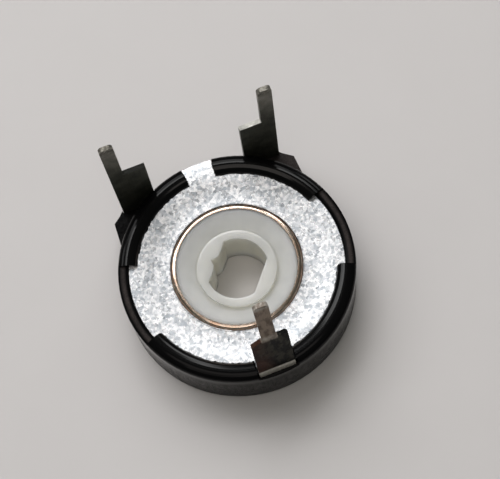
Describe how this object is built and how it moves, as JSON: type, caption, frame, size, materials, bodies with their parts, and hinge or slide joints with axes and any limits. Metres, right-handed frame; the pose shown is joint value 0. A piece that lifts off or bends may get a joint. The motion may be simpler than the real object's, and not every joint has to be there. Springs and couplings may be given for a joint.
{
  "type": "rotary potentiometer",
  "caption": "Round trimmer potentiometer with a zinc cover plate held by a rolled black rim, a white rotor with a D hole, a copper wiper collar and upright terminals.",
  "frame": {"origin": "on the rotor's axis, in the plane of the housing's foot", "axes": "+Z along the rotor's axis, out through the cover plate to the pins' tips; +Y from the axis towards the two end terminals"},
  "size_m": [0.015, 0.015, 0.012],
  "materials": {
    "black_moulding": "glossy black moulding",
    "zinc_plate": "zinc-plated steel with a fine spangle",
    "tinned_strip": "dull dark tin on brass strip",
    "rivet_brass": "bright brass eyelet",
    "phenolic": "brown phenolic paper board",
    "carbon_film": "printed carbon film",
    "silver_film": "printed silver film",
    "white_moulding": "milky white moulding",
    "copper_sheet": "bright copper-alloy spring sheet"
  },
  "bodies": {
    "case": {"housing": "black_moulding", "cover_plate": "zinc_plate", "centre_terminal": "tinned_strip", "left_terminal": "tinned_strip", "right_terminal": "tinned_strip", "left_rivet": "rivet_brass", "right_rivet": "rivet_brass", "resistor_base": "phenolic", "carbon_track": "carbon_film", "left_pad": "silver_film", "right_pad": "silver_film"},
    "rotor": {"rotor": "white_moulding", "wiper": "copper_sheet"}
  },
  "joints": [
    {"name": "rotor_turn", "type": "hinge", "parent": "case", "child": "rotor", "pos_m": [0, 0, 0], "axis": [0, 0, 1], "range_deg": [-182, 82]}
  ]
}
